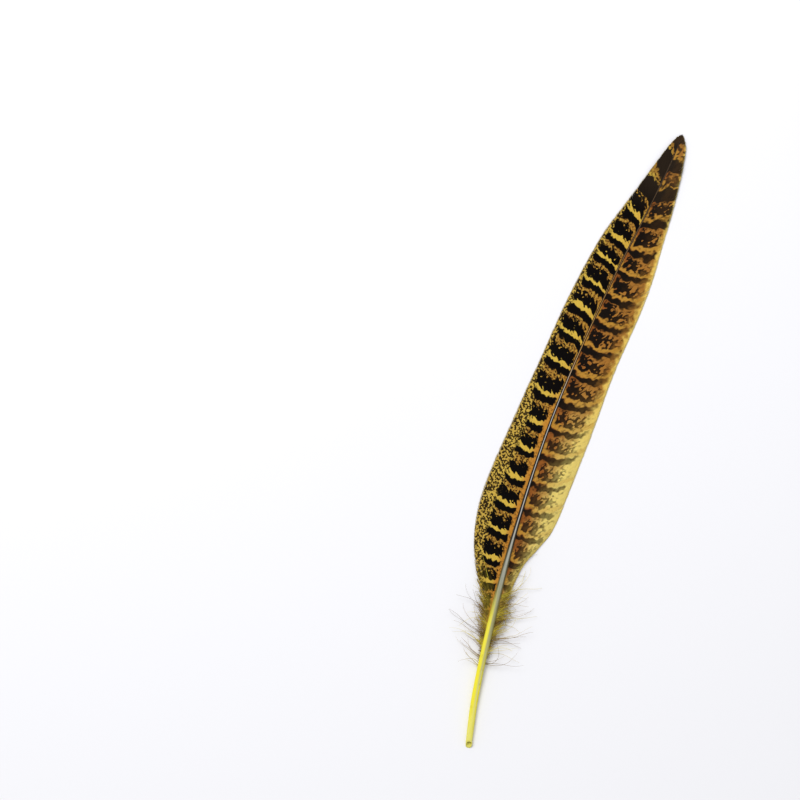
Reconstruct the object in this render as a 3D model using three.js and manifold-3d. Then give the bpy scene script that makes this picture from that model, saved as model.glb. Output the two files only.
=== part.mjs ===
// Barred tail feather of a hen pheasant, lying with its upper side up on a flat surface.
// Millimetres, +Z up, +Y from the cut end of the quill to the tip, +X to the feather's right.
// The shaft, its two vanes and the down at the quill grew as one piece, so they are one solid.
// Origin: middle of the feather's box, on the surface that it lies on.

import * as THREE from 'three';
import * as BufferGeometryUtils from 'three/addons/utils/BufferGeometryUtils.js';
import Module from 'manifold-3d';

const wasm = await Module();
wasm.setup();

// Driving dimensions. Each list holds [distance from the quill's end, size at that distance].

const LENGTH = 260;
const SHAFT_SIDEWAYS = [[0, 0], [22, -4.4], [55, -8.4], [90, -11.1], [128, -12.1], [160, -10.7],
  [195, -7.4], [228, -2.9], [248, -0.6], [260, 0]];
const SHAFT_LIFT = [[0, 0], [14, 0], [60, 2.4], [125, 4.2], [195, 3.1], [240, 1.0], [260, 0.2]];
const SHAFT_WIDTH = [[0, 2.5], [16, 2.8], [50, 2.8], [78, 2.3], [100, 1.6], [150, 1.1], [260, 0.6]];
const SHAFT_HEIGHT = [[0, 2.4], [16, 2.7], [50, 2.6], [100, 2.1], [150, 1.6], [220, 1.0], [260, 0.6]];
const QUILL_CUT = 3;

const LEFT_VANE = {
  side: -1,
  firstBarb: 47,
  lastBarb: 257.5,
  width: [[47, 0.6], [60, 6.6], [77, 13.6], [90, 16.3], [104, 16.6], [132, 14.1], [155, 13],
    [180, 12.9], [208, 11.8], [228, 9], [246, 5.6], [254, 3.7], [258, 1.9], [260, 0.5]],
  splits: [[97, 0.5], [152, 0.35], [214, 0.45]],
};
const RIGHT_VANE = {
  side: 1,
  firstBarb: 50,
  lastBarb: 257.5,
  width: [[50, 0.6], [62, 4.2], [76, 7.4], [84, 11.4], [92, 14.9], [108, 16.7], [138, 18.1],
    [165, 16.9], [187, 16.6], [203, 15.1], [222, 11.2], [240, 7.2], [250, 4.7], [255.5, 3.1], [258.5, 1.5],
    [260, 0.5]],
  splits: [[84, 0.4], [112, 0.3], [176, 0.35], [243, 0.6]],
};
// Barbs: their angle from the shaft in degrees, and how the vane is made up of them.
const BARB_ANGLE = [[45, 46], [90, 41], [180, 36], [225, 27], [258, 16]];
const LOCKS = 32;
const BARBS_PER_LOCK = 3;
const STEPS_ALONG_BARB = 4;
const ROOT_OVERLAP = 0.2;
const VANE_THICKNESS = 0.5;
const VANE_CROWN = 1.5;
const LOCK_NOTCH = 0.6;
const NOTCH_SHARE = 0.25;
const NOTCH_POWER = 4;
const LOCK_RIDGE = 0.22;
const FLANK_SHARE = 0.6;
const EDGE_RISE = 0.9;
const EDGE_RISE_LENGTH = 40;
const RESTING_STRETCH = [85, 205];
const WIDEST_REACH = 30;
const REACH_HALVINGS = 30;

// Splits: a wedge's width at its open end, how far it runs past the edge, and its height.
const SPLIT_WIDTH = 1;
const SPLIT_OVERRUN = 0.15;
const SPLIT_HEIGHT = 20;
const SPLIT_BELOW = 5;

const SHAFT_SIDES = 8;
const SHAFT_STEPS = 42;

// Down: the stretch of shaft that it grows from, and the size of a wisp. The angle from the shaft
// goes from the lowest wisp to the highest, and the sway makes neighbours differ.
const DOWN_WISPS = 13;
const DOWN_STRETCH = [33, 74];
const WISP_SIDES = 4;
const WISP_STEPS = 5;
const WISP_THICKNESS = 0.6;
const WISP_TAPER = 0.6;
const WISP_ANGLE = [66, 32];
const WISP_REACH = 17;
const WISP_SHORTENING = 0.28;
const WISP_SHORTENING_WAVE = [0.15, 0.85];
const WISP_SWAY_STEP = 2.4;
const WISP_SWAY_ANGLE = 8;
const WISP_SWAY_REACH = 2;
const WISP_SWAY_CURL = 22;
const WISP_END_HEIGHT = 0.4;
const WISP_END_RISE = 2.4;
const WISP_LOWEST = 0.35;

const degrees = Math.PI / 180;

// Smooth curve through a list of stations: a Catmull-Rom spline in one variable.
function at(stations, distance) {
  const last = stations.length - 1;
  const place = THREE.MathUtils.clamp(distance, stations[0][0], stations[last][0]);
  let k = 0;
  while (k < last - 1 && place > stations[k + 1][0]) k += 1;
  const slope = (i) => {
    const before = stations[Math.max(i - 1, 0)];
    const after = stations[Math.min(i + 1, last)];
    return (after[1] - before[1]) / (after[0] - before[0]);
  };
  const [start, low] = stations[k];
  const [end, high] = stations[k + 1];
  const step = end - start;
  const t = (place - start) / step;
  const t2 = t * t;
  const t3 = t2 * t;
  return (2 * t3 - 3 * t2 + 1) * low + (t3 - 2 * t2 + t) * step * slope(k)
    + (3 * t2 - 2 * t3) * high + (t3 - t2) * step * slope(k + 1);
}

// Middle line of the shaft at a distance, with the directions along the shaft and to its right.
function shaftAt(distance) {
  const slope = (at(SHAFT_SIDEWAYS, distance + 1) - at(SHAFT_SIDEWAYS, distance - 1)) / 2;
  const along = new THREE.Vector2(slope, 1).normalize();
  return {
    middle: new THREE.Vector2(at(SHAFT_SIDEWAYS, distance), distance),
    along,
    right: new THREE.Vector2(along.y, -along.x),
  };
}

// Height of the shaft's underside: flat on the ground for the quill's last stretch, then arched.
function liftAt(distance) {
  return Math.max(at(SHAFT_LIFT, distance), 0);
}

// Moves every point of a geometry by a function, then welds it into one closed surface.
function reshape(geometry, move) {
  const shaped = geometry.clone();
  shaped.deleteAttribute('normal');
  shaped.deleteAttribute('uv');
  const points = shaped.attributes.position;
  const point = new THREE.Vector3();
  for (let i = 0; i < points.count; i += 1) {
    point.fromBufferAttribute(points, i);
    const moved = move(point);
    points.setXYZ(i, moved.x, moved.y, moved.z);
  }
  return BufferGeometryUtils.mergeVertices(shaped, 1e-5);
}

function toSolid(geometry) {
  return new wasm.Manifold(new wasm.Mesh({
    numProp: 3,
    vertProperties: new Float32Array(geometry.attributes.position.array),
    triVerts: new Uint32Array(geometry.index.array),
  }));
}

function toGeometry(solid) {
  const mesh = solid.getMesh();
  const geometry = new THREE.BufferGeometry();
  geometry.setAttribute('position', new THREE.BufferAttribute(mesh.vertProperties, 3));
  geometry.setIndex(new THREE.BufferAttribute(mesh.triVerts, 1));
  return geometry;
}

// The shaft: an eight-sided bar that tapers to the tip, flat underneath, with its quill cut aslant.
function shaft() {
  const bar = new THREE.CylinderGeometry(1, 1, 1, SHAFT_SIDES, SHAFT_STEPS);
  bar.rotateY(Math.PI / SHAFT_SIDES);
  const flat = Math.cos(Math.PI / SHAFT_SIDES);
  return reshape(bar, ({ x, y, z }) => {
    const distance = (y + 0.5) * LENGTH;
    const { middle, right } = shaftAt(distance);
    const across = x / flat * at(SHAFT_WIDTH, distance) / 2;
    const up = z / flat * at(SHAFT_HEIGHT, distance) / 2;
    const place = middle.addScaledVector(right, across);
    const cut = y === -0.5 ? QUILL_CUT * (up / at(SHAFT_HEIGHT, 0) + 0.5) : 0;
    const height = liftAt(distance) + at(SHAFT_HEIGHT, distance) / 2 + up;
    return new THREE.Vector3(place.x, place.y + cut, height);
  });
}

// Length across the vane of the barb that leaves the shaft at a distance: where it meets the edge.
function barbReach(vane, root) {
  const forward = 1 / Math.tan(at(BARB_ANGLE, root) * degrees);
  let low = 0;
  let high = WIDEST_REACH;
  for (let i = 0; i < REACH_HALVINGS; i += 1) {
    const middle = (low + high) / 2;
    if (middle < at(vane.width, root + middle * forward)) low = middle;
    else high = middle;
  }
  return low;
}

// Place on a barb: the share of its length runs from 0 at the shaft to 1 at the vane's edge.
// The vane slopes down from the shaft's flank, and its edge touches the ground along the middle.
function onBarb(vane, root, share, reach) {
  const { middle, along, right } = shaftAt(root);
  const across = reach * share;
  const forward = across / Math.tan(at(BARB_ANGLE, root) * degrees);
  const place = middle.addScaledVector(along, forward).addScaledVector(right, vane.side * across);
  const [from, to] = RESTING_STRETCH;
  const past = Math.max(from - place.y, place.y - to, 0);
  const flank = liftAt(root) + at(SHAFT_HEIGHT, root) * FLANK_SHARE;
  const rise = EDGE_RISE * Math.min(past / EDGE_RISE_LENGTH, 1) ** 2;
  const edge = Math.min(VANE_THICKNESS / 2 + rise, flank);
  const height = edge + (flank - edge) * (1 - Math.abs(share) ** VANE_CROWN);
  return new THREE.Vector3(place.x, place.y, height);
}

// One vane: a thin slab of barbs in locks. A lock is a shallow ridge, with a notch between it and the next.
function vaneSlab(vane) {
  const rows = LOCKS * BARBS_PER_LOCK;
  const slab = new THREE.BoxGeometry(1, 1, 1, STEPS_ALONG_BARB, rows, 1);
  slab.translate(vane.side / 2, 0.5, 0);
  return reshape(slab, ({ x, y, z }) => {
    const row = Math.round(y * rows);
    const root = THREE.MathUtils.lerp(vane.firstBarb, vane.lastBarb, y);
    const reach = barbReach(vane, root);
    const share = Math.abs(x);
    const inLock = row % BARBS_PER_LOCK === 0 ? 0 : 1;
    const depth = Math.min(LOCK_NOTCH, reach * NOTCH_SHARE);
    const notch = depth * (1 - inLock) * share ** NOTCH_POWER;
    const start = share === 0 ? -ROOT_OVERLAP / reach : share;
    const place = onBarb(vane, root, start - notch / reach, reach);
    place.z += z * VANE_THICKNESS + LOCK_RIDGE * inLock * Math.sin(Math.PI * share);
    return place;
  });
}

// A gap between two locks: a thin wedge that follows the barbs in from the vane's edge.
function splitGap(vane, root, depth) {
  const reach = barbReach(vane, root);
  const inner = onBarb(vane, root, 1 - depth, reach);
  const outer = onBarb(vane, root, 1 + SPLIT_OVERRUN, reach);
  const way = new THREE.Vector2(outer.x - inner.x, outer.y - inner.y);
  const outline = new THREE.Shape([
    new THREE.Vector2(0, 0),
    new THREE.Vector2(way.length(), -SPLIT_WIDTH / 2),
    new THREE.Vector2(way.length(), SPLIT_WIDTH / 2),
  ]);
  const wedge = new THREE.ExtrudeGeometry(outline, { depth: SPLIT_HEIGHT, bevelEnabled: false });
  wedge.rotateZ(way.angle());
  wedge.translate(inner.x, inner.y, -SPLIT_BELOW);
  return reshape(wedge, (point) => point);
}

// One wisp of down: a thin tapering strand that leaves the quill and curls as it goes.
function wisp(root, side, angle, reach, curl) {
  const { middle } = shaftAt(root);
  const start = liftAt(root) + at(SHAFT_HEIGHT, root) / 2;
  const end = WISP_END_HEIGHT + WISP_END_RISE * Math.abs(Math.sin(root));
  const strand = new THREE.CylinderGeometry(1, 1, 1, WISP_SIDES, WISP_STEPS);
  return reshape(strand, ({ x, y, z }) => {
    const share = y + 0.5;
    const turn = (angle + curl * share) * degrees;
    const radius = WISP_THICKNESS / 2 * (1 - WISP_TAPER * share);
    const out = reach * share;
    const place = middle.clone();
    place.x += side * (out * Math.sin(turn) + x * radius * Math.cos(turn));
    place.y += out * Math.cos(turn) - x * radius * Math.sin(turn);
    const height = start * (1 - share) + end * share;
    return new THREE.Vector3(place.x, place.y, Math.max(height, WISP_LOWEST) + side * z * radius);
  });
}

// The down: wisps on both sides of the quill's upper part, unlike each other in reach and curl.
function down() {
  const wisps = [];
  for (const side of [-1, 1]) {
    for (let i = 0; i < DOWN_WISPS; i += 1) {
      const share = i / (DOWN_WISPS - 1);
      const root = THREE.MathUtils.lerp(...DOWN_STRETCH, share) + side;
      const sway = Math.sin(WISP_SWAY_STEP * i + side);
      const angle = THREE.MathUtils.lerp(...WISP_ANGLE, share) + WISP_SWAY_ANGLE * sway;
      const wave = Math.sin(Math.PI * THREE.MathUtils.lerp(...WISP_SHORTENING_WAVE, share));
      const longest = WISP_REACH * (1 - WISP_SHORTENING * (1 - wave));
      const reach = longest + WISP_SWAY_REACH * sway;
      wisps.push(toSolid(wisp(root, side, angle, reach, -WISP_SWAY_CURL * sway)));
    }
  }
  return wisps;
}

// Joins the parts, cuts the splits, and puts the origin under the middle of the whole.
function featherGeometry() {
  let solid = toSolid(shaft());
  for (const vane of [LEFT_VANE, RIGHT_VANE]) {
    let slab = toSolid(vaneSlab(vane));
    for (const [root, depth] of vane.splits) slab = slab.subtract(toSolid(splitGap(vane, root, depth)));
    solid = solid.add(slab);
  }
  for (const strand of down()) solid = solid.add(strand);
  const geometry = toGeometry(solid);
  geometry.computeBoundingBox();
  const { min, max } = geometry.boundingBox;
  geometry.translate(-(min.x + max.x) / 2, -(min.y + max.y) / 2, -min.z);
  geometry.computeVertexNormals();
  return geometry;
}

const feather = new THREE.Mesh(
  featherGeometry(),
  new THREE.MeshStandardMaterial({ color: 0xb8963a, roughness: 0.75, metalness: 0 }),
);
feather.name = 'feather';

const group = new THREE.Group();
group.add(feather);

export default group;
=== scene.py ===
"""Barred tail feather of a hen pheasant, dyed yellow, lying with its upper side up.

Places along the feather are in millimetres from the quill's cut end, and places across it are
in millimetres from the shaft. They become metres in the part's frame when a mesh is made.
"""

import bpy
import numpy as np
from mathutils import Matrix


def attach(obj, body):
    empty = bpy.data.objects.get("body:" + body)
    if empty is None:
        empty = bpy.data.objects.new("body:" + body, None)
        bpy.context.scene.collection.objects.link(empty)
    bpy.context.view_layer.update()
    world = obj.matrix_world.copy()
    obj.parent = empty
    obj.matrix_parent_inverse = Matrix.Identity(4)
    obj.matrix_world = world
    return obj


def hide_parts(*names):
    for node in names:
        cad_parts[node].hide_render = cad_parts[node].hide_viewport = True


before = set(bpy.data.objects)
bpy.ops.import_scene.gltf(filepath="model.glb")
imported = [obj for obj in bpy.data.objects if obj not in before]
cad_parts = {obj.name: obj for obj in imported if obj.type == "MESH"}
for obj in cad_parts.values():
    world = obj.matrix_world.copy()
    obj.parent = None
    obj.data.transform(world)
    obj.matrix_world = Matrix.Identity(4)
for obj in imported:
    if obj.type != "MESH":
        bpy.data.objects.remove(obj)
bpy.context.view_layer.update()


# --- Camera --------------------------------------------------------------------------------------
# It looks straight down from high above, turned so that the feather leans to the right, with
# the feather in the right half of its view. Its places are in metres.

VIEW_MIDDLE = (-0.0615, -0.0076)
VIEW_WIDTH = 0.320
CAMERA_HEIGHT = 1.3
FEATHER_LEAN = 19.27
SENSOR = 36.0

camera_data = bpy.data.cameras.new("camera")
camera_data.sensor_width = SENSOR
camera_data.lens = SENSOR * CAMERA_HEIGHT / VIEW_WIDTH
camera = bpy.data.objects.new("camera", camera_data)
camera.location = (*VIEW_MIDDLE, CAMERA_HEIGHT)
camera.rotation_euler = (0, 0, np.radians(FEATHER_LEAN))
bpy.context.scene.collection.objects.link(camera)
bpy.context.scene.camera = camera


# --- Shaft and quill -----------------------------------------------------------------------------
# One horny rod that tapers from the bare quill to a hair at the tip. The quill is a hollow
# tube, cut aslant at its end and dyed bright yellow, and the vanes grow from its flanks.

MM = 0.001
QUILL_END = (10.081, -129.977)
LENGTH = 260.0
SHAFT_SIDEWAYS = [(0, 0), (22, -4.4), (55, -8.4), (90, -11.1), (128, -12.1), (160, -10.7),
                  (195, -7.4), (228, -2.9), (248, -0.6), (260, 0)]
SHAFT_LIFT = [(0, 0), (14, 0), (60, 2.4), (125, 4.2), (195, 3.1), (240, 1.0), (260, 0.2)]
SHAFT_WIDTH = [(0, 2.5), (16, 2.8), (50, 2.8), (78, 2.3), (100, 1.6), (150, 1.1), (250, 0.55),
               (260, 0.14)]
SHAFT_HEIGHT = [(0, 2.4), (16, 2.7), (50, 2.6), (100, 2.1), (150, 1.6), (220, 1.0), (250, 0.55),
                (260, 0.16)]
SHAFT_RINGS = 220
SHAFT_SIDES = 24
SHAFT_SQUARENESS = 0.82
QUILL_CUT = 3.0
QUILL_CUT_REACH = 9.0
QUILL_WALL = 0.3
QUILL_LIP = 0.21
QUILL_HOLLOW = 16.0
HOLLOW_RINGS = 18

QUILL_END_YELLOW = (224, 216, 104)
QUILL_YELLOW = (232, 220, 44)
QUILL_PALE = (198, 194, 120)
QUILL_OLIVE = (160, 157, 106)
SHAFT_HORN = (140, 142, 126)
# The silver is grey horn lightened by painted highlight along the middle of the shaft's back.
SHAFT_SILVER_AND_HIGHLIGHT = (178, 175, 170)
SHAFT_BROWN = (198, 146, 66)
SHAFT_DARK = (126, 90, 42)
SHAFT_TIP = (44, 32, 20)
FLANK_OLIVE = (104, 98, 60)
# The flanks' brown and black are dark horn with painted shade on the shaft's rounded sides.
FLANK_BROWN_AND_SHADE = (44, 36, 28)
FLANK_BLACK_AND_SHADE = (18, 14, 12)
# Painted highlight: whitish streaks along the middle of the shaft's back.
PALE_LINE_HIGHLIGHT = (222, 222, 216)
LINE_DARK = (84, 72, 44)

# A grain is how many features a noise has to a millimetre, one way and the other.
LINE_GRAIN = (0.05, 5.0)
MOTTLE_GRAIN = (0.4, 1.0)
NOISE_GAIN = 3.2
LINE_DEPTH = 0.03

# In these pairs a marking is absent at the first number and full at the second.
# FLANK_EDGE: where the flanks' dark horn and painted shade begin across the shaft.
FLANK_EDGE = (0.14, 0.28)
BACK_WIDENS = (96.0, 66.0)
PALE_LINES_END = (175.0, 135.0)
# LEFT_YELLOW: the stretch where the quill's left flank is brighter yellow, its dye with a painted
# highlight.
LEFT_YELLOW_BEGINS, LEFT_YELLOW_ENDS = (6.0, 20.0), (67.0, 46.0)

HORN_CLEARNESS = 0.12
HORN_CLEAR_DEPTH = (0.002, 0.0016, 0.0006)
HORN_CLEAR_SCALE = 0.5


def through(stations, distance):
    """Smooth curve through (distance, value) stations: cubic Hermite pieces, where the slope at
    a station is taken between its two neighbours."""
    knots, values = np.array(stations, float).T
    before = np.maximum(np.arange(len(knots)) - 1, 0)
    after = np.minimum(np.arange(len(knots)) + 1, len(knots) - 1)
    slopes = (values[after] - values[before]) / (knots[after] - knots[before])
    place = np.clip(distance, knots[0], knots[-1])
    k = np.clip(np.searchsorted(knots, place) - 1, 0, len(knots) - 2)
    step = knots[k + 1] - knots[k]
    t = (place - knots[k]) / step
    start = (2 * t**3 - 3 * t**2 + 1) * values[k] + (t**3 - 2 * t**2 + t) * step * slopes[k]
    end = (3 * t**2 - 2 * t**3) * values[k + 1] + (t**3 - t**2) * step * slopes[k + 1]
    return start + end


def shaft_at(distance):
    """Middle line of the shaft and its unit vectors along and to the right, as x, y arrays. The
    direction is the middle line's slope over one millimetre to each side."""
    slope = (through(SHAFT_SIDEWAYS, distance + 1) - through(SHAFT_SIDEWAYS, distance - 1)) / 2
    size = np.sqrt(1 + slope**2)
    middle = np.stack([through(SHAFT_SIDEWAYS, distance), distance], -1)
    along = np.stack([slope / size, 1 / size], -1)
    right = np.stack([1 / size, -slope / size], -1)
    return middle, along, right


def shaft_lift(distance):
    """Height of the shaft's underside: on the ground near the cut end, then arched."""
    return np.maximum(through(SHAFT_LIFT, distance), 0)


def grid_faces(rings, sides):
    """Quads between neighbouring rings of points."""
    steps = np.arange(sides)
    ring = np.arange(rings - 1)[:, None] * sides
    near = ring + steps
    beside = ring + (steps + 1) % sides
    return np.stack([near, beside, beside + sides, near + sides], -1).reshape(-1, 4)


def feather_piece(name, points, faces, attributes, sheet):
    """A mesh object from points in millimetres of the feather, moved to the part's frame, and
    groups of faces. attributes are three numbers a point, and sheet is two a face corner."""
    mesh = bpy.data.meshes.new(name)
    place = (points + np.array([*QUILL_END, 0])) * MM
    corners = [face for group in faces for face in group.tolist()]
    mesh.from_pydata(place.tolist(), [], corners)
    for key, values in attributes.items():
        held = mesh.attributes.new(key, "FLOAT_VECTOR", "POINT")
        held.data.foreach_set("vector", values.astype(np.float32).ravel())
    unfolded = mesh.uv_layers.new(name="OFBake")
    unfolded.uv.foreach_set("vector", sheet.astype(np.float32).ravel())
    mesh.polygons.foreach_set("use_smooth", [True] * len(mesh.polygons))
    mesh.update()
    piece = bpy.data.objects.new(name, mesh)
    bpy.context.scene.collection.objects.link(piece)
    return piece


def shaft_faces(rings):
    """Quads between the shaft's rings, and at each end a fan to a middle point. The two middle
    points come after all the rings: first the tip's, then the one at the hollow's bottom."""
    ring = np.arange(SHAFT_SIDES)
    beside = (ring + 1) % SHAFT_SIDES
    last = (rings - 1) * SHAFT_SIDES
    tip = np.full(SHAFT_SIDES, rings * SHAFT_SIDES)
    tip_fan = np.stack([tip, ring, beside], -1)
    hollow_fan = np.stack([tip + 1, last + beside, last + ring], -1)
    return [grid_faces(rings, SHAFT_SIDES)[:, ::-1], tip_fan, hollow_fan]


def shaft_sheet(rings):
    """Places on the unit square for the corners of the shaft's faces: the turn runs across it,
    the rings run up it, and a fan fills the thin strip left at each end."""
    ring = np.arange(SHAFT_SIDES)
    row = np.arange(rings - 1)[:, None, None] + np.array([1, 1, 0, 0])
    turned = ring[:, None] + np.array([0, 1, 1, 0])
    row, turned = np.broadcast_arrays(row, turned)
    sides = np.stack([turned / SHAFT_SIDES, 0.01 + 0.98 * row / (rings - 1)], -1)
    fan = np.stack([ring + 0.5, ring, ring + 1], -1) / SHAFT_SIDES
    tip_fan = np.stack([fan, np.tile([0, 0.01, 0.01], (SHAFT_SIDES, 1))], -1)
    hollow_fan = np.stack([fan[:, [0, 2, 1]], np.tile([1, 0.99, 0.99], (SHAFT_SIDES, 1))], -1)
    return np.concatenate([part.reshape(-1, 2) for part in (sides, tip_fan, hollow_fan)])


def shaft_surface():
    """Rings of the shaft from its tip to the quill's cut end, and on into the hollow quill. A
    ring is a rounded square: x and z are powers of the cosine and sine of the turn. Near the
    cut end a point moves along the quill by its height in the ring. Returns points, faces,
    each point's distance and place round the ring, and the unfolded shaft."""
    outside = LENGTH * (1 - np.linspace(0, 1, SHAFT_RINGS))
    inside = np.linspace(0, QUILL_HOLLOW, HOLLOW_RINGS)
    distance = np.concatenate([outside, inside])[:, None]
    wall = np.concatenate([np.zeros(SHAFT_RINGS), np.full(HOLLOW_RINGS, QUILL_WALL)])[:, None]
    wall[SHAFT_RINGS] = QUILL_LIP
    turn = -2 * np.pi * np.arange(SHAFT_SIDES) / SHAFT_SIDES
    round_x = np.sign(np.cos(turn)) * np.abs(np.cos(turn)) ** SHAFT_SQUARENESS
    round_z = np.sign(np.sin(turn)) * np.abs(np.sin(turn)) ** SHAFT_SQUARENESS

    height = through(SHAFT_HEIGHT, distance)
    across = round_x * (through(SHAFT_WIDTH, distance) / 2 - wall)
    up = round_z * (height / 2 - wall)
    slant = QUILL_CUT * (up / height + 0.5) * np.clip(1 - distance / QUILL_CUT_REACH, 0, 1)
    middle, along, right = shaft_at(distance + 0 * across)
    plan = middle + right * across[..., None] + along * slant[..., None]
    z = shaft_lift(distance) + height / 2 + up
    points = np.concatenate([plan, z[..., None]], -1)
    ends = np.stack([points[0].mean(0), points[-1].mean(0)])

    rings = len(distance)
    where = np.stack([distance + 0 * across, round_x + 0 * across, round_z + 0 * across], -1)
    where = np.concatenate([where.reshape(-1, 3), [[LENGTH, 0, 0], [QUILL_HOLLOW, 0, 0]]])
    points = np.concatenate([points.reshape(-1, 3), ends])
    return points, shaft_faces(rings), where, shaft_sheet(rings)


def paint(colour):
    """A colour given as 0 to 255 screen values, as linear light with full cover."""
    screen = np.array(colour) / 255
    linear = np.where(screen <= 0.04045, screen / 12.92, ((screen + 0.055) / 1.055) ** 2.4)
    return (*linear.tolist(), 1.0)


class Field:
    """A number or a colour at each point of a surface, held by a node's socket. Arithmetic with
    a field adds a node to its tree and gives the field of the result."""

    def __init__(self, tree, socket):
        self.tree = tree
        self.socket = socket

    def __add__(self, other):
        return reckon("ADD", self, other)

    def __sub__(self, other):
        return reckon("SUBTRACT", self, other)

    def __rsub__(self, other):
        return reckon("SUBTRACT", other, self)

    def __mul__(self, other):
        return reckon("MULTIPLY", self, other)

    def __truediv__(self, other):
        return reckon("DIVIDE", self, other)

    def __abs__(self):
        return reckon("ABSOLUTE", self)

    __radd__ = __add__
    __rmul__ = __mul__


def add_node(tree, kind, inputs, **settings):
    """A new node with its settings and inputs, as the fields of its outputs."""
    node = tree.nodes.new(kind)
    for key, value in settings.items():
        setattr(node, key, value)
    for key, value in inputs.items():
        if isinstance(value, Field):
            tree.links.new(value.socket, node.inputs[key])
        else:
            node.inputs[key].default_value = value
    return [Field(tree, socket) for socket in node.outputs]


def reckon(operation, *values):
    """One step of arithmetic, such as ADD, on fields and numbers."""
    tree = next(value.tree for value in values if isinstance(value, Field))
    return add_node(tree, "ShaderNodeMath", dict(enumerate(values)), operation=operation)[0]


def read(tree, attribute):
    """The three numbers of a piece's attribute, as fields."""
    vector = add_node(tree, "ShaderNodeAttribute", {}, attribute_name=attribute)[1]
    return add_node(tree, "ShaderNodeSeparateXYZ", {0: vector})


def rise(field, low, high):
    """0 below low, 1 above high and smooth in between. It falls where low is the larger."""
    inputs = {0: field, 1: low, 2: high, 3: 0.0, 4: 1.0}
    return add_node(field.tree, "ShaderNodeMapRange", inputs, interpolation_type="SMOOTHSTEP")[0]


def grain(x, y, scale, layer, detail=1.0):
    """Smooth noise between about -1 and 1 over a plane. scale is how many features there are to
    a millimetre along x and y, and each layer has a noise of its own."""
    tree = x.tree
    point = add_node(tree, "ShaderNodeCombineXYZ", {0: x * scale[0], 1: y * scale[1], 2: layer})[0]
    inputs = {"Vector": point, "Scale": 1.0, "Detail": detail}
    return (add_node(tree, "ShaderNodeTexNoise", inputs)[0] - 0.5) * NOISE_GAIN


def blend(share, under, over):
    """The colour under where share is 0 and over where it is 1."""
    under, over = [c if isinstance(c, Field) else paint(c) for c in (under, over)]
    return add_node(share.tree, "ShaderNodeMix", {0: share, 6: under, 7: over}, data_type="RGBA")[2]


def colours_along(field, stops):
    """Colours along a field between 0 and 1, from (place, colour) stops."""
    band = add_node(field.tree, "ShaderNodeValToRGB", {0: field})[0]
    elements = band.socket.node.color_ramp.elements
    while len(elements) < len(stops):
        elements.new(0.5)
    for element, (place, colour) in zip(elements, stops):
        element.position = place
        element.color = paint(colour)
    return band


def new_finish(name, roughness, specular):
    """A node material, as the material, its node tree and its shader."""
    material = bpy.data.materials.new(name)
    material.use_nodes = True
    shader = material.node_tree.nodes["Principled BSDF"]
    shader.inputs["Roughness"].default_value = roughness
    shader.inputs["Specular IOR Level"].default_value = specular
    return material, material.node_tree, shader


def lay_on(shader, colour, relief=None, depth=0.0):
    """Gives a shader its colour and, where there is a relief, a bump of a depth in
    millimetres."""
    colour.tree.links.new(colour.socket, shader.inputs["Base Color"])
    if relief:
        inputs = {"Height": relief, "Strength": 1.0, "Distance": depth * MM}
        bump = add_node(relief.tree, "ShaderNodeBump", inputs)[0]
        relief.tree.links.new(bump.socket, shader.inputs["Normal"])


def shaft_finish():
    """Silky horn: silver-grey along the middle, lightened there by painted highlight and pale
    streaks of painted highlight; near-black flanks, dark horn with painted shade on the rounded
    sides; brown towards the tip, and half-clear yellow at the quill, with fine lines that run along
    it. across is 0 on the shaft's middle line and -1 and 1 on its flanks. The left flank of the
    quill is a brighter yellow: its dye with a painted highlight."""
    material, tree, shader = new_finish("horn", roughness=0.42, specular=0.16)
    distance, across, _ = read(tree, "shaft_place")
    share = distance / LENGTH
    lines = grain(distance, across, LINE_GRAIN, 3)
    mottle = grain(distance, across, MOTTLE_GRAIN, 8, detail=2.0)
    # Colours along the middle of the back; the silver is lightened by painted highlight.
    back = colours_along(share, [
        (0.0, QUILL_END_YELLOW), (0.05, QUILL_END_YELLOW), (0.11, QUILL_PALE),
        (0.18, QUILL_OLIVE), (0.27, SHAFT_HORN), (0.38, SHAFT_SILVER_AND_HIGHLIGHT), (0.54, SHAFT_SILVER_AND_HIGHLIGHT),
        (0.64, SHAFT_BROWN), (0.80, SHAFT_DARK), (1.0, SHAFT_TIP)])
    # Colours along the flanks: yellow and olive at the quill, then dark horn with painted shade of
    # the rounded sides.
    flank = colours_along(share, [
        (0.0, QUILL_END_YELLOW), (0.09, QUILL_YELLOW), (0.17, QUILL_OLIVE), (0.25, FLANK_OLIVE),
        (0.33, FLANK_BROWN_AND_SHADE), (0.42, FLANK_BLACK_AND_SHADE), (0.8, FLANK_BLACK_AND_SHADE), (1.0, SHAFT_TIP)])
    # Painted shade: the flanks darker than the middle, from FLANK_EDGE outwards.
    side = abs(across) + 0.05 * lines - 0.28 * rise(distance, *BACK_WIDENS)
    colour = blend(rise(side, *FLANK_EDGE), back, flank)
    # Painted highlight: the quill's left flank brighter yellow over its dye.
    left = rise(across, 0.15, -0.2) * rise(distance, *LEFT_YELLOW_ENDS)
    left = left * rise(distance, *LEFT_YELLOW_BEGINS)
    colour = blend(0.9 * left, colour, QUILL_YELLOW)
    # Painted highlight: pale streaks along the middle of the back, on the horn's fine lines.
    pale = rise(lines, 0.0, 0.9) * rise(side, 0.5, 0.2) * rise(distance, *PALE_LINES_END)
    colour = blend(0.35 * pale, colour, PALE_LINE_HIGHLIGHT)
    colour = blend(0.22 * rise(mottle, 0.2, 1.0), colour, LINE_DARK)
    lay_on(shader, colour, relief=lines, depth=LINE_DEPTH)
    shader.inputs["Subsurface Weight"].default_value = HORN_CLEARNESS
    shader.inputs["Subsurface Radius"].default_value = HORN_CLEAR_DEPTH
    shader.inputs["Subsurface Scale"].default_value = HORN_CLEAR_SCALE
    return material


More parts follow.
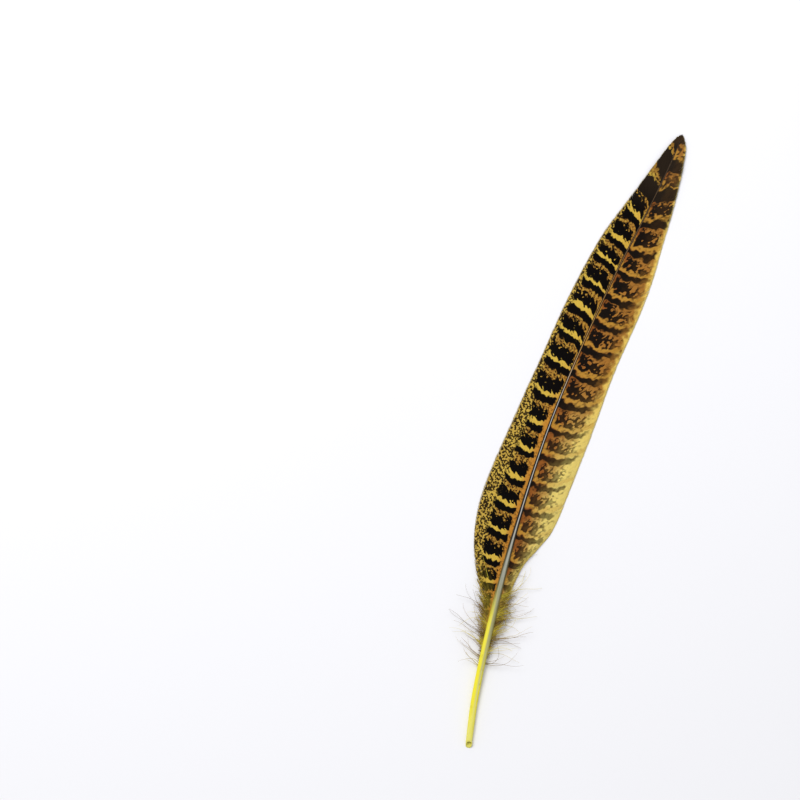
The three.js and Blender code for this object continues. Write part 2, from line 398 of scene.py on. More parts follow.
points, faces, where, sheet = shaft_surface()
shaft = feather_piece("shaft", points, faces, {"shaft_place": where}, sheet)
shaft.data.materials.append(shaft_finish())
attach(shaft, "root")
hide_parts("feather")


# --- Left and right vane -------------------------------------------------------------------------
# Each vane is a row of several hundred thin horny barbs that grow from the shaft's flank, aslant
# towards the tip. They hook into one another, part in locks at the edge, and carry the bars in
# their own colour.

# An edge is (distance, across), and a split (distance, share of the barbs that stands open).
LEFT_EDGE = [(47, 0.6), (60, 6.6), (77, 13.6), (90, 16.3), (104, 16.6), (132, 14.1), (155, 13),
             (180, 12.9), (208, 11.8), (228, 9), (246, 5.6), (254, 3.7), (258, 1.9), (260, 0.1)]
RIGHT_EDGE = [(50, 0.6), (62, 4.2), (76, 7.4), (84, 11.4), (92, 14.9), (108, 16.7), (138, 18.1),
              (165, 16.9), (187, 16.6), (203, 15.1), (222, 11.2), (240, 7.2), (250, 4.7),
              (255.5, 3.1), (258.5, 1.5), (260, 0.1)]
LEFT_SPLITS = [(97, 0.5), (152, 0.35), (214, 0.3)]
RIGHT_SPLITS = [(84, 0.4), (112, 0.3), (176, 0.35), (236, 0.5)]
SPLIT_HALF = 0.10
SPLIT_SPREAD = 2.5
WIDEST_REACH = 30.0
HALVINGS = 40

LAST_BARB = 258.2
BARB_ANGLE = [(45, 46), (90, 41), (180, 36), (225, 27), (258, 16)]
BARB_SPACING = 0.34
ROOT_JITTER = 0.05
SHORT_JITTER = 0.01
BARB_SWAY = 0.12
BARB_BOB = 0.03
BARB_STEPS = 20
BARB_OVERLAP = 1.45
BARB_THICK = (0.36, 0.14)
BARB_SWEEP = 0.9
BARB_TAPER_FROM = 0.93
BARB_TAPER = 0.75
TIP_WIDER = 0.3
TIP_STRETCH = (215, 240)
VANE_CROWN = 1.5
FLANK_SHARE = 0.6
EDGE_LOW = 0.13
EDGE_RISE = 0.9
EDGE_RISE_LENGTH = 40.0
RESTING_STRETCH = (85, 205)
LOCK_WIDTH = 5.2
LOCK_GATHER = 0.015
LOCK_NOTCH = 0.12
LOCK_WAVE = 0.11
LOCKS_DRAWN, TRAITS_DRAWN = 80, 90
LOOSE_FROM, LOOSE_TO = 65.0, 47.0
LOOSE_SHORTER = (-0.2, 0.12)
LOOSE_BEND, LOOSE_WAVE = 0.5, 0.25
LOOSE_THINNER = 0.3
LOOSE_LIFT = 0.8
LEFT_SEED, RIGHT_SEED = 11, 12

BARS = [54.5, 65.9, 74.8, 86.1, 97, 107.8, 119.9, 130.9, 142.7, 154.8, 166.4, 177.3, 188.7,
        199.5, 208.6, 219.8, 232.4, 246.6, 258.5]
LEFT_SLOPE = [(60, 0.0), (140, 0.04), (165, 0.2), (215, 0.2), (230, 0.42), (260, 0.7)]
NOTCH_FROM, NOTCH_FULL = 140, 165
NOTCH_DEPTH, NOTCH_WIDTH = 1.9, 1.4
SAG_DEPTH, SAG_WIDTH = 1.4, 10
RIGHT_SLOPE = [(60, -0.1), (205, -0.1), (216, 0.3), (226, 0.6), (238, 0.6), (250, 0.2),
               (260, 0.6)]
RIGHT_CURVE = 0.0015
CURVE_TO, CURVE_GONE = 205, 225

BAR_BLACK = (8, 5, 4)
TIP_BLACK = (38, 29, 20)
END_BROWN = (58, 42, 26)
BAND_YELLOW = (208, 176, 72)
GROUND_OCHRE = (158, 114, 46)
GROUND_BROWN = (88, 56, 20)
SPECK_BROWN = (30, 19, 9)
STRIP_ORANGE = (190, 131, 50)
MARGIN_YELLOW = (202, 170, 76)
EDGE_YELLOW = (206, 178, 66)
BASE_OLIVE = (156, 136, 44)
DUSKY_BROWN = (22, 15, 10)
RUST = (148, 88, 36)
FLECK_BROWN = (92, 60, 28)
ORANGE_BROWN = (172, 118, 50)
RIGHT_BAND = (196, 148, 58)
UPPER_MARGIN = (246, 210, 104)
LOWER_MARGIN = (240, 218, 124)

MARKING_ANGLE = 38.0
STREAK_GRAIN = (0.72, 0.5)
LEFT_TOOTH_GRAIN = (0.34, 1.15)
RIGHT_TOOTH_GRAIN = (0.34, 1.0)
FLECK_GRAIN = (0.6, 1.0)
LOBE_GRAIN = (0.6, 0.6)
BLOTCH_GRAIN = (0.48, 0.48)
WAVE_GRAIN = (0.2, 0.2)
SPECK_GRAIN = (1.2, 1.2)
RIDGE_GRAIN = (3.0, 6.0)
RIDGE_DEPTH = 0.02
LEFT_BAR_HALF, RIGHT_BAR_HALF = 0.13, 0.12
MARGIN_FROM = 0.88

# In each pair in brackets a marking is absent at the first number and full at the second. Bars
# and patches go by the share of the way from bar to bar, holes and specks by a noise, and the
# rest by a place in millimetres.
LEFT_BAR_EDGE, RIGHT_BAR_EDGE = (0.016, -0.016), (0.035, -0.03)
LEFT_PATCH_FOOT, RIGHT_PATCH_FOOT = (0.25, 0.275), (0.25, 0.32)
LEFT_PATCH_HEAD, RIGHT_PATCH_HEAD = (0.71, 0.68), (0.76, 0.68)
LEFT_HOLES, RIGHT_HOLES = (-0.85, -0.7), (-0.46, -0.34)
LEFT_PATCHES_END, RIGHT_PATCHES_END = (241.0, 234.0), (248.0, 238.0)
LEFT_LOWER, RIGHT_LOWER = (152.0, 134.0), (160.0, 110.0)
LEFT_TIP, RIGHT_TIP = (222.0, 240.0), (215.0, 240.0)
LEFT_END, RIGHT_END = (254.0, 257.0), (254.5, 257.0)
LEFT_BASE, RIGHT_BASE = (66.0, 48.0), (68.0, 50.0)
UPPER_MARGIN_STRETCH = (214.0, 196.0)
DENSE_SPECKS, SPARSE_SPECKS = (-0.08, -0.01), (0.26, 0.36)
STRIP_EDGE = (4.2, 1.8)


def ramp_up(value, low, high):
    """0 below low, 1 above high, smooth in between: 3t^2 - 2t^3."""
    t = np.clip((value - low) / (high - low), 0, 1)
    return t * t * (3 - 2 * t)


def barb_path(side, root, across, share):
    """Place in plan on the barbs that leave the shaft at root: across to the side, forward by
    across over the tangent of the barb's angle, and a sweep that grows with the share squared."""
    middle, along, right = shaft_at(root)
    forward = across / np.tan(np.radians(through(BARB_ANGLE, root))) + BARB_SWEEP * share**2
    place = middle + along * forward[..., None] + right * (side * across)[..., None]
    return place, forward


def barb_reach(edge, root):
    """How far across each barb meets the vane's edge, found by halving an interval."""
    low, high = np.zeros_like(root), np.full_like(root, WIDEST_REACH)
    for _ in range(HALVINGS):
        guess = (low + high) / 2
        forward = guess / np.tan(np.radians(through(BARB_ANGLE, root))) + BARB_SWEEP
        inside = guess < through(edge, root + forward)
        low, high = np.where(inside, guess, low), np.where(inside, high, guess)
    return low


def barb_height(root, share, y):
    """Middle of a barb above the ground: from the shaft's flank down to the vane's edge, which
    rests on the ground along the middle of the feather and rises a little at both ends."""
    start, end = RESTING_STRETCH
    past = np.maximum(np.maximum(start - y, y - end), 0)
    flank = shaft_lift(root) + through(SHAFT_HEIGHT, root) * FLANK_SHARE
    edge = EDGE_LOW + EDGE_RISE * np.minimum(past / EDGE_RISE_LENGTH, 1) ** 2
    edge = np.minimum(edge, flank)
    return edge + (flank - edge) * (1 - share**VANE_CROWN)


def barb_locks(rng, root, first):
    """The lock that each barb belongs to, as four numbers a barb: its place in the lock from -1
    to 1, how strongly the lock gathers at the edge, how much shorter the barb is, growing with
    the cube of its place, and how far the lock bulges up or down. More locks are drawn than a
    vane has."""
    limits = first + np.cumsum(rng.uniform(0.6, 1.4, LOCKS_DRAWN) * LOCK_WIDTH)
    lock = np.searchsorted(limits, root)
    start, end = np.append(first, limits)[lock], limits[lock]
    in_lock = (root - (start + end) / 2) / (end - start) * 2
    gather = LOCK_GATHER * rng.uniform(0.5, 1.6, TRAITS_DRAWN)[lock]
    notch = LOCK_NOTCH * np.abs(in_lock) ** 3 * rng.uniform(0.3, 1.3, TRAITS_DRAWN)[lock]
    bulge = LOCK_WAVE * rng.uniform(-1, 1, TRAITS_DRAWN)[lock]
    return in_lock, gather, notch, bulge


def barb_rods(plan, z, sideways, half, deep):
    """Four-sided rods about the middle lines of barbs: the points over, right of, under and left
    of each step, and quads between the steps and across both ends."""
    outwards = sideways * half[..., None]
    corners = [(plan, z + deep), (plan + outwards, z), (plan, z - deep), (plan - outwards, z)]
    points = np.stack([np.concatenate([xy, up[..., None]], -1) for xy, up in corners], 2)
    count, steps = z.shape
    caps = np.array([[0, 1, 2, 3], [3, 2, 1, 0]]) + np.array([[0], [(steps - 1) * 4]])
    rod = np.concatenate([grid_faces(steps, 4), caps])
    faces = (np.arange(count) * steps * 4)[:, None, None] + rod
    return points.reshape(-1, 3), faces.reshape(-1, 4)


def vane_surface(side, edge, splits, lean, seed):
    """Barbs as tapering four-sided rods side by side, each a little wider than its spacing.
    Locks pull their barbs together, splits push them apart, and the barbs near the quill hang
    loose. Returns points, faces and what the material reads at each point."""
    rng = np.random.default_rng(seed)
    first = edge[0][0]
    count = int((LAST_BARB - first) / BARB_SPACING)
    root = first + (LAST_BARB - first) * (np.arange(count) + 0.5) / count
    root = root + rng.uniform(-ROOT_JITTER, ROOT_JITTER, count)
    reach = barb_reach(edge, root)
    in_lock, gather, notch, bulge = barb_locks(rng, root, first)
    loose = 1 - ramp_up(root, LOOSE_TO, LOOSE_FROM)
    short = np.minimum(notch, reach / 4) / np.maximum(reach, 0.5)
    short = short + rng.uniform(0, SHORT_JITTER, count)
    short = short + loose * rng.uniform(*LOOSE_SHORTER, count)

    share = np.linspace(0, 1, BARB_STEPS + 1) * (1 - short[:, None])
    root, in_lock, loose = root[:, None] + 0 * share, in_lock[:, None], loose[:, None]
    across = reach[:, None] * share
    plan, forward = barb_path(side, root, across, share)
    way = np.gradient(plan, axis=1)
    way = way / np.linalg.norm(way, axis=-1, keepdims=True)
    sideways = np.stack([way[..., 1], -way[..., 0]], -1)
    angle = np.radians(through(BARB_ANGLE, root))
    spacing = BARB_SPACING * np.sin(angle)

    shift = -in_lock * gather[:, None] * share**3
    for split, open_share in splits:
        opened = np.clip((share - (1 - open_share)) / open_share, 0, 1)
        past = root - split
        shift = shift + SPLIT_HALF * opened * np.sign(past) * np.exp(-np.abs(past) / SPLIT_SPREAD)
    bends = rng.normal(0, 1, (4, count))[:, :, None]
    ripple = np.sin(5 * share + 3 * bends[2])
    wander = bends[0] * share**1.5 * LOOSE_BEND + bends[1] * ripple * LOOSE_WAVE
    shift = shift + loose * wander * share + bends[3] * BARB_SWAY * spacing * share
    plan = plan + sideways * (-side * shift)[..., None]

    slim = 1 - BARB_TAPER * ramp_up(share, BARB_TAPER_FROM, 1.0)
    half = spacing / 2 * BARB_OVERLAP * slim * (1 + TIP_WIDER * ramp_up(root, *TIP_STRETCH))
    half = half * (1 - LOOSE_THINNER * loose * share)
    deep = (BARB_THICK[0] + (BARB_THICK[1] - BARB_THICK[0]) * share**0.5) / 2 * slim
    deep = np.minimum(deep, 0.9 * half + 0.05)
    z = barb_height(root, share, plan[..., 1])
    z = z + bulge[:, None] * np.sin(np.pi * share) * (1 - in_lock**2)
    z = z + rng.uniform(-BARB_BOB, BARB_BOB, (count, 1)) * ramp_up(share, 0, 0.2)
    z = z + loose * np.abs(bends[1]) * LOOSE_LIFT * share
    z = np.maximum(z, deep + 0.01)
    points, faces = barb_rods(plan, z, sideways, half, deep)

    lengths = np.linalg.norm(np.diff(plan, axis=1), axis=-1)
    along = np.concatenate([np.zeros((count, 1)), np.cumsum(lengths, axis=1)], 1)
    aside = side * half[..., None] * np.array([0, 1, 0, -1])
    distance = (root + forward)[..., None] - np.sin(angle)[..., None] * aside
    out = across[..., None] + np.cos(angle)[..., None] * aside
    phase = np.interp(distance - lean(distance, out), BARS, np.arange(len(BARS)))
    barb_place = np.stack([root, along, share], -1)
    bar_place = np.stack([phase, out, distance], -1)
    return points, faces, {
        "barb_place": np.repeat(barb_place.reshape(-1, 3), 4, axis=0),
        "bar_place": bar_place.reshape(-1, 3)}


def vane_sheet(faces, share):
    """Places on the unit square for the corners of a vane's faces: barb by barb up the square,
    in two columns for the upper side and two more for the under side."""
    corner = faces.ravel()
    barb_points = (BARB_STEPS + 1) * 4
    number, ring = corner // barb_points, corner % 4
    lines = (len(share) // barb_points + 1) // 2
    under = (np.repeat(faces, 4, axis=0) % 4 == 2).any(1)
    column = number // lines + 2 * under
    around = np.array([0.5, 0.95, 0.5, 0.05])[ring]
    u = (column + 0.02 + 0.96 * share[corner]) / 4
    v = (number % lines + around) / lines
    return np.stack([u, v], -1)


def vane_piece(name, side, edge, splits, lean, seed, material):
    """The barbs of one vane as one object."""
    points, faces, attributes = vane_surface(side, edge, splits, lean, seed)
    sheet = vane_sheet(faces, attributes["barb_place"][:, 2])
    piece = feather_piece(name, points, [faces], attributes, sheet)
    piece.data.materials.append(material)
    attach(piece, "root")
    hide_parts("feather")


def left_lean(distance, across):
    """How far the left bars run towards the tip: a slope that grows to the tip, less a notch by
    the shaft in the upper half and a sag in the lower one."""
    upper = ramp_up(distance, NOTCH_FROM, NOTCH_FULL)
    notch = NOTCH_DEPTH * np.exp(-across / NOTCH_WIDTH) * upper
    sag = SAG_DEPTH * np.sin(np.pi * np.clip(across / SAG_WIDTH, 0, 1)) * (1 - upper)
    return through(LEFT_SLOPE, distance) * across - notch - sag


def right_lean(distance, across):
    """How far the right bars run towards the tip: a slope, and below the tip a curve that grows
    with the cube of the place across."""
    curve = RIGHT_CURVE * across**3 * (1 - ramp_up(distance, CURVE_TO, CURVE_GONE))
    return through(RIGHT_SLOPE, distance) * across + curve


def along_barbs(distance, across):
    """Places along the barbs and square to them, as if all left the shaft at one angle."""
    angle = np.radians(MARKING_ANGLE)
    ahead = distance * np.cos(angle) + across * np.sin(angle)
    beside = distance * np.sin(angle) - across * np.cos(angle)
    return ahead, beside


def past_whole(field):
    """How far a field is past the whole number below it."""
    return reckon("FRACT", field)


def larger(one, other):
    """The larger of two fields."""
    return reckon("MAXIMUM", one, other)


def left_vane_finish():
    """Crisp black bars and toothed black patches on yellow and orange-brown, with a margin of
    fine dark specks. The phase grows by one from bar to bar. A bar lies where it is near a whole
    number, a yellow band just past that, and a patch on the rest of the way to the next bar."""
    material, tree, shader = new_finish("left_vane", roughness=0.75, specular=0.06)
    root, along, share = read(tree, "barb_place")
    phase, across, distance = read(tree, "bar_place")
    ahead, beside = along_barbs(distance, across)
    streak = grain(root, along, STREAK_GRAIN, 1, detail=0.5)
    tooth = grain(ahead, beside, LEFT_TOOTH_GRAIN, 13, detail=0.5)
    lobe = grain(distance, across, LOBE_GRAIN, 3)
    wave = grain(distance, across, WAVE_GRAIN, 5)
    speck = grain(distance, across, SPECK_GRAIN, 9)
    low = rise(distance, *LEFT_LOWER)
    tip = rise(distance, *LEFT_TIP)

    # Bars, broader near the tip, and the patches between them.
    bent = phase + 0.05 * wave + 0.06 * lobe
    off_bar = abs(past_whole(bent + 0.5 + 0.025 * streak) - 0.5)
    broader = tip * (0.32 - 0.026 * across) - 0.012 * low
    bar = rise(off_bar - (LEFT_BAR_HALF + 0.05 * wave + broader), *LEFT_BAR_EDGE)
    past_bar = past_whole(bent)
    foot = past_bar + 0.09 * tooth
    head = past_bar + 0.17 * tooth + 0.06 * streak + 0.07 * lobe
    patch = rise(foot, *LEFT_PATCH_FOOT) * rise(head, *LEFT_PATCH_HEAD)
    patch = patch * rise(lobe + 0.6 * speck, *LEFT_HOLES) * rise(distance, *LEFT_PATCHES_END)

    # Both end at the margin, and the patches also leave a strip free by the shaft.
    limit = MARGIN_FROM - 0.22 * low + 0.3 * tip
    out = share + 0.08 * lobe
    begin = across + 0.6 * streak - 2.0 * low + tip
    patch = patch * rise(begin + 0.3 * tooth + 0.5 * low, 0.65, 1.0)
    inside = rise(out - limit, 0.02, -0.02) * rise(begin, -0.2, 0.2)
    black = larger(bar, patch) * inside

    # Specks: dense on the margin, sparse between the bars and at the tip.
    ripple = 0.9 * speck + 0.45 * tooth
    margin = rise(out - limit, -0.12, 0.04)
    band = rise(past_bar, 0.36, 0.30) * rise(past_bar, 0.08, 0.14)
    clear = (1 - band) * rise(across, 1.5, 4.0)
    sparse = larger(clear, tip) * rise(ripple, *SPARSE_SPECKS)
    dense = rise(ripple, *DENSE_SPECKS) * margin
    specks = larger(dense, sparse) * rise(share, 0.99, 0.95)

    # The ground from the yellow band to ochre, orange by the shaft and brown in small spots.
    ground = blend(rise(past_bar, 0.30, 0.52), BAND_YELLOW, GROUND_OCHRE)
    ground = blend(0.45 * rise(speck, 0.1, -0.6), ground, BAND_YELLOW)
    ground = blend(rise(across, *STRIP_EDGE) * (0.2 + 0.75 * low), ground, STRIP_ORANGE)
    ground = blend(0.8 * margin, ground, MARGIN_YELLOW)
    ground = blend(rise(ripple, 0.0, 0.3) * (0.6 - 0.5 * band), ground, GROUND_BROWN)
    ground = blend(0.2 * tip, ground, END_BROWN)
    colour = blend(0.92 * specks, ground, SPECK_BROWN)
    colour = blend(black, colour, blend(tip, BAR_BLACK, TIP_BLACK))
    colour = blend(0.8 * rise(distance, *LEFT_END), colour, END_BROWN)
    colour = blend(0.6 * rise(share, 0.955, 0.985), colour, EDGE_YELLOW)
    colour = blend(0.6 * rise(root + 4.0 * streak, *LEFT_BASE), colour, BASE_OLIVE)
    lay_on(shader, colour, relief=grain(root, along, RIDGE_GRAIN, 2), depth=RIDGE_DEPTH)
    return material


def right_vane_finish():
    """Softer grey-brown bars and blotched patches on rust by the shaft, orange along the middle
    and plain yellow at the margin. Bars, bands and patches follow the phase as on the left."""
    material, tree, shader = new_finish("right_vane", roughness=0.72, specular=0.08)
    root, along, share = read(tree, "barb_place")
    phase, across, distance = read(tree, "bar_place")
    ahead, beside = along_barbs(distance, across)
    tooth = grain(ahead, beside, RIGHT_TOOTH_GRAIN, 21, detail=0.5)
    wave = grain(distance, across, WAVE_GRAIN, 25)
    blotch = grain(distance, across, BLOTCH_GRAIN, 29, detail=0.5)
    fleck = grain(ahead, beside, FLECK_GRAIN, 33, detail=0.5)
    low = rise(distance, *RIGHT_LOWER)
    tip = rise(distance, *RIGHT_TIP)
    out = share + 0.09 * blotch

    # Bars, broader near the tip, and the patches between them, which have holes.
    bent = phase + 0.07 * wave + 0.08 * blotch
    off_bar = abs(past_whole(bent + 0.5 + 0.03 * tooth) - 0.5)
    half = RIGHT_BAR_HALF + 0.05 * wave + 0.11 * tip - 0.02 * low
    bar = rise(off_bar - half, *RIGHT_BAR_EDGE)
    past_bar = past_whole(bent)
    inner = rise(across, 9.5, 3.0) * (1 - 0.6 * low)
    foot = past_bar + 0.06 * tooth
    head = past_bar + 0.14 * tooth + 0.1 * fleck + 0.1 * blotch - 0.11 * inner + 0.1 * tip
    thin = blotch + 0.9 * fleck - 0.3 * out + 0.34 * larger(inner, tip)
    begin = across - 1.1 * low + 0.4 * tooth
    patch = rise(foot, *RIGHT_PATCH_FOOT) * rise(head, *RIGHT_PATCH_HEAD)
    patch = patch * rise(thin, *RIGHT_HOLES) * rise(distance, *RIGHT_PATCHES_END)
    patch = patch * rise(begin, 0.8, 1.3)

    # Both fade out before the edge. Spots take their place at the tip.
    reach = out - (0.2 * tip - 0.16 * low)
    bar = bar * rise(reach - 0.08 * low, 0.97, 0.86)
    patch = patch * rise(reach, 0.93, 0.81)
    spots = rise(fleck + 0.5 * tooth, 0.1, 0.24) * tip * 0.8
    dark = larger(larger(bar, patch), spots)
    upper_edge = rise(out, 0.64, 0.84) * (1 - low) * rise(distance, *UPPER_MARGIN_STRETCH)
    strength = 1 - low * out * (0.64 - 0.24 * bar) - 0.05 * rise(out, 0.3, 0.6)
    strength = strength - 0.5 * upper_edge

    # The ground from rust to orange to the yellow margin, paler towards the quill.
    ground = blend(rise(out, 0.10, 0.45), RUST, ORANGE_BROWN)
    margin = blend(low, UPPER_MARGIN, LOWER_MARGIN)
    ground = blend(rise(out + 0.36 * low, 0.81, 1.0), ground, margin)
    arc = past_bar - 0.24 * rise(begin, 1.6, 0.6)
    band = rise(past_bar, 0.10, 0.16) * rise(arc, 0.36, 0.26)
    ground = blend(0.75 * band, ground, RIGHT_BAND)
    ground = blend(0.55 * low * rise(out, 0.15, 0.6), ground, LOWER_MARGIN)
    ground = blend(0.6 * rise(fleck, 0.0, 0.7) * rise(out, 1.0, 0.7), ground, FLECK_BROWN)
    ground = blend(0.2 * tip, ground, END_BROWN)
    colour = blend(dark * strength, ground, blend(tip, DUSKY_BROWN, TIP_BLACK))
    colour = blend(rise(distance, *RIGHT_END) * rise(tooth, 0.35, 0.0), colour, END_BROWN)
    colour = blend(rise(share, 0.93, 0.97) * (0.75 - 0.5 * tip), colour, LOWER_MARGIN)
    colour = blend(0.6 * rise(root + 4.0 * tooth, *RIGHT_BASE), colour, BASE_OLIVE)
    lay_on(shader, colour, relief=grain(root, along, RIDGE_GRAIN, 2), depth=RIDGE_DEPTH)
    return material


vane_piece("left_vane", -1, LEFT_EDGE, LEFT_SPLITS, left_lean, LEFT_SEED, left_vane_finish())
vane_piece("right_vane", 1, RIGHT_EDGE, RIGHT_SPLITS, right_lean, RIGHT_SEED, right_vane_finish())


# --- Down ----------------------------------------------------------------------------------------
# Loose barbs without hooks that grow from both flanks at the top of the quill: short olive fuzz
# close to the shaft, and long fine hairs that stand out to both sides and curl.

DOWN_FROM, DOWN_TO = 33.0, 74.0
WISPS = 13
WISP_REACH = 17.0
WISP_ANGLES = (66, 32)
WISP_SWAY_ANGLE = 8
WISP_CURL = 22
STRAY_ROOT, STRAY_CURL = 0.7, 20
LOWEST_TOP, TOP_SWELL = 0.2, 2.4
HAIRS_PER_WISP = 4
FUZZ_HAIRS = 1600
FUZZ_LENGTHS = (3.5, 11.0)
FUZZ_ANGLES = (20, 72)
FUZZ_CURL = 34
FUZZ_TOPS = (0.2, 2.8)
FUZZ_GROWS, FUZZ_SHORTENS, FUZZ_SINKS = (32, 52), (58, 70), (54, 66)
HAIR_THICK = (0.32, 0.09)
HAIR_STEPS = 14
HAIR_WAVE = 14
HAIR_LOWEST = 0.12
HAIR_COLUMNS = 8
HAIR_SEED = 31
BLOTCH_LENGTH = 7.5

HAIR_BROWN = (112, 88, 42)
HAIR_OCHRE = (150, 116, 48)
HAIR_OLIVE = (170, 146, 54)
HAIR_YELLOW = (218, 200, 70)
HAIR_ROOT = (168, 156, 50)


def hair_traits(rng):
    """How each hair grows, as six numbers a hair: the place of its root, its side, its angle to
    the shaft in degrees, its length, its curl in degrees, and the height of its end. First come
    the long hairs, a few to a wisp, whose reach swells and sways along the quill, then the
    fuzz, which shortens at both ends of its stretch."""
    wisp = np.repeat(np.arange(WISPS), HAIRS_PER_WISP)
    share = wisp / (WISPS - 1)
    groups = []
    for side in (-1, 1):
        sway = np.sin(2.4 * wisp + side)
        reach = WISP_REACH * (0.72 + 0.28 * np.sin(np.pi * (0.15 + 0.7 * share))) + 2 * sway
        angle = WISP_ANGLES[0] + (WISP_ANGLES[1] - WISP_ANGLES[0]) * share
        stray = rng.normal(0, 1, (3, len(wisp)))
        groups.append(np.stack([
            DOWN_FROM + (DOWN_TO - DOWN_FROM) * share + side + STRAY_ROOT * stray[0],
            np.full(len(wisp), float(side)),
            angle + WISP_SWAY_ANGLE * (sway + stray[1]),
            reach * np.clip(0.84 + 0.2 * stray[1], 0.3, 1.04),
            -WISP_CURL * sway + STRAY_CURL * stray[2],
            TOP_SWELL * np.abs(np.sin(DOWN_FROM + wisp)) + LOWEST_TOP,
        ], -1))
    root = DOWN_FROM + (DOWN_TO - DOWN_FROM) * rng.beta(1.3, 1.3, FUZZ_HAIRS)
    side = rng.choice([-1.0, 1.0], FUZZ_HAIRS)
    angle = rng.uniform(*FUZZ_ANGLES, FUZZ_HAIRS)
    shortest, longest = FUZZ_LENGTHS
    length = shortest + (longest - shortest) * rng.beta(1.4, 2.0, FUZZ_HAIRS)
    length = length * (0.25 + 0.75 * ramp_up(root, *FUZZ_GROWS))
    length = length * (1 - 0.5 * ramp_up(root, *FUZZ_SHORTENS))
    curl = rng.normal(0, FUZZ_CURL, FUZZ_HAIRS)
    top = rng.uniform(*FUZZ_TOPS, FUZZ_HAIRS) * (1 - 0.8 * ramp_up(root, *FUZZ_SINKS))
    groups.append(np.stack([root, side, angle, length, curl, top], -1))
    return np.concatenate(groups)


def hair_faces(side):
    """Quads between the steps of three-sided hairs and a triangle at both ends. The hairs of
    the two sides of the shaft are turned opposite ways, so that all their faces look out."""
    steps = HAIR_STEPS + 1
    rod = grid_faces(steps, 3)
    caps = np.array([[2, 1, 0], [0, 1, 2]])
    cap_starts = np.array([[0], [(steps - 1) * 3]])
    starts = np.arange(len(side)) * steps * 3
    faces = []
    for way in (1, -1):
        chosen = starts[side == -way][:, None, None]
        faces.append((rod[:, ::way] + chosen).reshape(-1, 4))
        faces.append((caps[:, ::way] + cap_starts + chosen).reshape(-1, 3))
    return faces


def hair_sheet(faces, count):
    """Places on the unit square for the corners of hair faces: hair by hair up the square in
    HAIR_COLUMNS columns, with the three sides of a hair beside one another."""
    steps = HAIR_STEPS + 1
    number, row, ring = faces // (steps * 3), faces // 3 % steps, faces % 3
    around = np.where((ring == 0) & (ring == 2).any(1, keepdims=True), 3, ring) / 3
    column, line = number % HAIR_COLUMNS, number // HAIR_COLUMNS
    lines = -(-count // HAIR_COLUMNS)
    u = (column + 0.02 + 0.96 * row / HAIR_STEPS) / HAIR_COLUMNS
    v = (line + 0.05 + 0.9 * around) / lines
    return np.stack([u, v], -1).reshape(-1, 2)


def hair_surface():
    """Tapering three-sided hairs. A hair starts at the shaft, heads out at its own angle, and
    turns by its curl and a slow wave as it goes. Its place is the sum of its short steps."""
    rng = np.random.default_rng(HAIR_SEED)
    root, side, angle, length, curl, top = hair_traits(rng).T[:, :, None]
    count = len(root)
    share = np.linspace(0, 1, HAIR_STEPS + 1)[None, :]
    wave = HAIR_WAVE * np.sin(7 * share + rng.uniform(0, 2 * np.pi, (count, 1))) * share
    turn = np.radians(angle + 2 * curl * (share - 0.25) + wave)
    step = length / HAIR_STEPS
    out = np.cumsum(np.concatenate([0 * root, np.sin(turn[:, 1:]) * step], 1), 1)
    onward = np.cumsum(np.concatenate([0 * root, np.cos(turn[:, 1:]) * step], 1), 1)
    middle, along, right = [vector[:, None] for vector in shaft_at(root[:, 0])]
    plan = middle + right * (side * out)[..., None] + along * onward[..., None]
    start = shaft_lift(root) + through(SHAFT_HEIGHT, root) / 2
    bow = np.sin(np.pi * share) * rng.uniform(0, 0.8, (count, 1))
    z = np.maximum(start * (1 - share) + (0.25 + top * share) * share + bow, HAIR_LOWEST)

    thick = (HAIR_THICK[0] + (HAIR_THICK[1] - HAIR_THICK[0]) * share) / 2
    thick = thick * rng.uniform(0.7, 1.2, (count, 1)) * np.where(length > WISP_REACH / 2, 0.8, 1)
    square = right * (np.cos(turn) * side)[..., None] - along * np.sin(turn)[..., None]
    ring = 2 * np.pi * np.arange(3) / 3
    plan = plan[:, :, None] + square[:, :, None] * (np.cos(ring)[:, None] * thick[..., None, None])
    height = z[..., None] + np.sin(ring) * thick[..., None]
    points = np.concatenate([plan, height[..., None]], -1)
    faces = hair_faces(side[:, 0])

    blotch = 0.5 + 0.4 * np.sin(2 * np.pi * root / BLOTCH_LENGTH + side)
    pale = np.clip(blotch + rng.normal(0, 0.2, (count, 1)), 0, 1)[..., None] + 0 * height
    where = np.stack([pale, share[..., None] + 0 * height, root[..., None] + 0 * height], -1)
    sheet = np.concatenate([hair_sheet(group, count) for group in faces])
    return points.reshape(-1, 3), faces, where.reshape(-1, 3), sheet


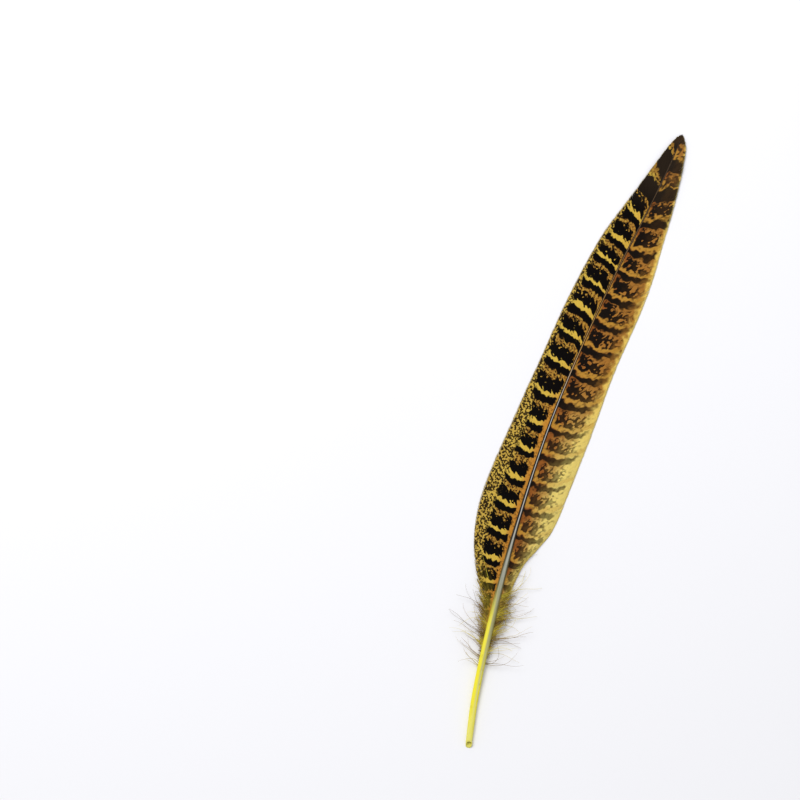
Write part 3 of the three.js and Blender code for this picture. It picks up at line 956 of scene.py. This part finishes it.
def down_finish():
    """Olive-brown hairs, each its own shade, yellower close to the shaft."""
    material, tree, shader = new_finish("down", roughness=0.7, specular=0.2)
    pale, share, _ = read(tree, "hair_place")
    colour = colours_along(pale, [
        (0.0, HAIR_BROWN), (0.3, HAIR_OCHRE), (0.6, HAIR_OLIVE), (1.0, HAIR_YELLOW)])
    lay_on(shader, blend(0.35 * rise(share, 0.35, 0.0), colour, HAIR_ROOT))
    return material


points, faces, where, sheet = hair_surface()
down = feather_piece("down", points, faces, {"hair_place": where}, sheet)
down.data.materials.append(down_finish())
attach(down, "root")
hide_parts("feather")


# --- Floor and light -----------------------------------------------------------------------------
# A plain white sheet far wider than the feather, under a large soft lamp to the upper left and
# an even white sky. Its places and sizes are in metres.

FLOOR_SIZE = 4.0
FLOOR_WHITE = (236, 236, 240)
SKY_WHITE = (255, 255, 255)
SKY_STRENGTH = 0.60
LAMP_PLACE = (-0.55, 0.45, 1.1)
LAMP_SIZE = 0.7
LAMP_POWER = 12.5

bpy.ops.mesh.primitive_plane_add(size=FLOOR_SIZE)
floor = bpy.context.object
floor.name = "floor"
floor_white, _, floor_shader = new_finish("floor_white", roughness=0.9, specular=0.1)
floor_shader.inputs["Base Color"].default_value = paint(FLOOR_WHITE)
floor.data.materials.append(floor_white)

lamp_data = bpy.data.lights.new("lamp", "AREA")
lamp_data.size = LAMP_SIZE
lamp_data.energy = LAMP_POWER
lamp = bpy.data.objects.new("lamp", lamp_data)
lamp.location = LAMP_PLACE
lamp_x, lamp_y, lamp_z = LAMP_PLACE
lamp_tilt = np.arctan2(np.hypot(lamp_x, lamp_y), lamp_z)
lamp.rotation_euler = (0, lamp_tilt, np.arctan2(lamp_y, lamp_x))
bpy.context.scene.collection.objects.link(lamp)

sky = bpy.data.worlds.new("sky")
sky.use_nodes = True
background = sky.node_tree.nodes["Background"]
background.inputs["Color"].default_value = paint(SKY_WHITE)
background.inputs["Strength"].default_value = SKY_STRENGTH
bpy.context.scene.world = sky
bpy.context.scene.view_settings.view_transform = "Standard"
